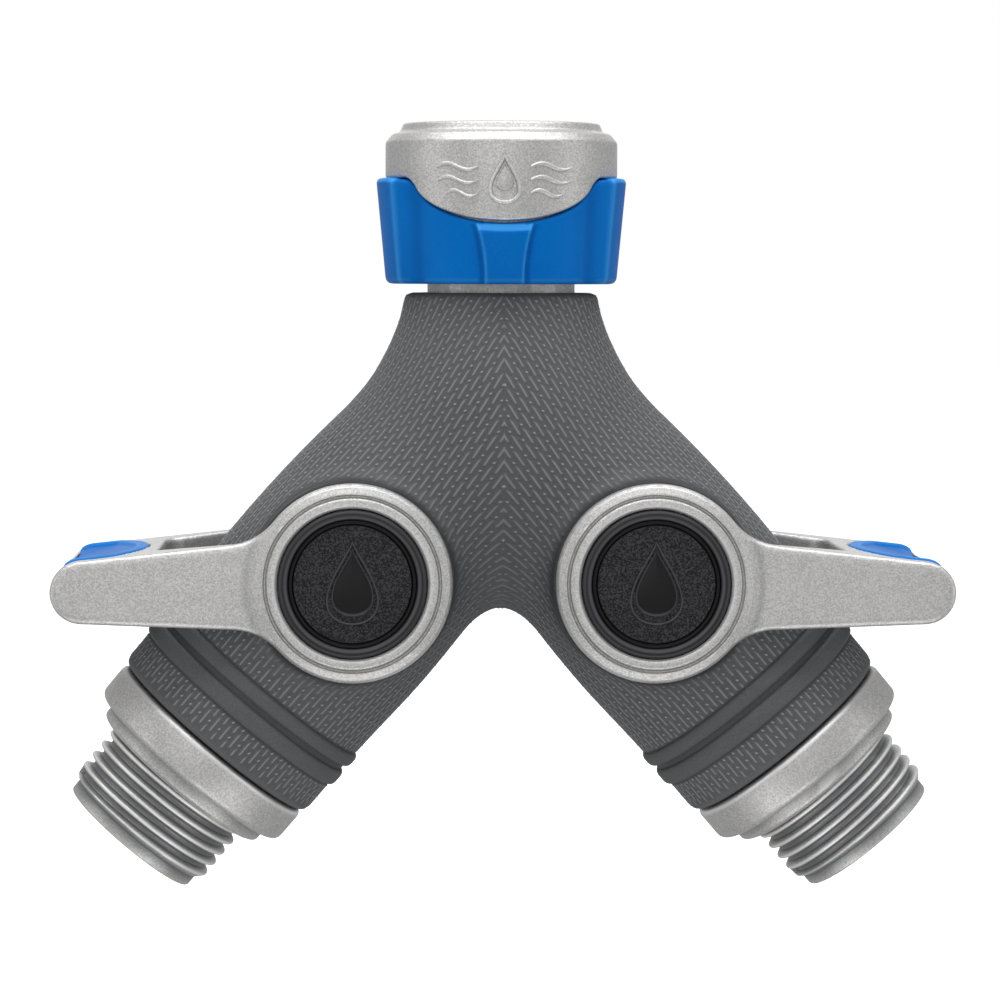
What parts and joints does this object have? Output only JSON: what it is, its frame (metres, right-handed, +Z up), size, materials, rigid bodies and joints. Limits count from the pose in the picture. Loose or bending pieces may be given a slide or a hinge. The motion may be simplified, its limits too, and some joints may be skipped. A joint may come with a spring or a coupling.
{
  "type": "hose splitter",
  "caption": "Y-shaped garden hose splitter with a swivel inlet nut, rubber-covered body, and a lever-operated ball valve on each threaded outlet leg.",
  "frame": {"origin": "centre of the swivel nut's mouth, in the plane of its rim", "axes": "+Z up along the inlet, away from the body; +X to the right leg; -Y to the front"},
  "size_m": [0.1426, 0.0478, 0.1233],
  "materials": {
    "silver": "silver metallic paint, fine flake, satin",
    "rubber_grey": "matt moulded rubber with a dash-and-dot relief",
    "grip_blue": "fine matt moulded, slight sheen",
    "rubber_black": "satin, grained field",
    "seal_black": "matt",
    "seat_white": "smooth",
    "steel": "satin",
    "brass": "machined"
  },
  "bodies": {
    "body": {"body_housing": "silver", "body_sleeve": "rubber_grey", "inlet_tailpiece": "brass", "tailpiece_o_ring": "seal_black", "left_outlet_fitting": "silver", "left_fitting_o_ring": "seal_black", "left_inner_seat": "seat_white", "left_outer_seat": "seat_white", "left_rear_pivot": "brass", "left_rear_screw": "steel", "right_outlet_fitting": "silver", "right_fitting_o_ring": "seal_black", "right_inner_seat": "seat_white", "right_outer_seat": "seat_white", "right_rear_pivot": "brass", "right_rear_screw": "steel"},
    "swivel": {"swivel_nut": "silver", "swivel_grip": "grip_blue", "inlet_washer": "seal_black"},
    "left_valve": {"left_lever": "silver", "left_thumb_pad": "grip_blue", "left_front_cap": "rubber_black", "left_rear_cap": "rubber_black", "left_front_screw": "steel", "left_valve_stem": "brass", "left_stem_o_ring": "seal_black", "left_valve_ball": "steel"},
    "right_valve": {"right_lever": "silver", "right_thumb_pad": "grip_blue", "right_front_cap": "rubber_black", "right_rear_cap": "rubber_black", "right_front_screw": "steel", "right_valve_stem": "brass", "right_stem_o_ring": "seal_black", "right_valve_ball": "steel"}
  },
  "joints": [
    {"name": "swivel_turn", "type": "hinge", "parent": "body", "child": "swivel", "pos_m": [0, 0, -0.02], "axis": [0, 0, 1], "continuous": true},
    {"name": "left_lever_turn", "type": "hinge", "parent": "body", "child": "left_valve", "pos_m": [-0.02384, 0, -0.07276], "axis": [0, 1, 0], "range_deg": [0, 84]},
    {"name": "right_lever_turn", "type": "hinge", "parent": "body", "child": "right_valve", "pos_m": [0.02384, 0, -0.07276], "axis": [0, -1, 0], "range_deg": [0, 84]}
  ]
}
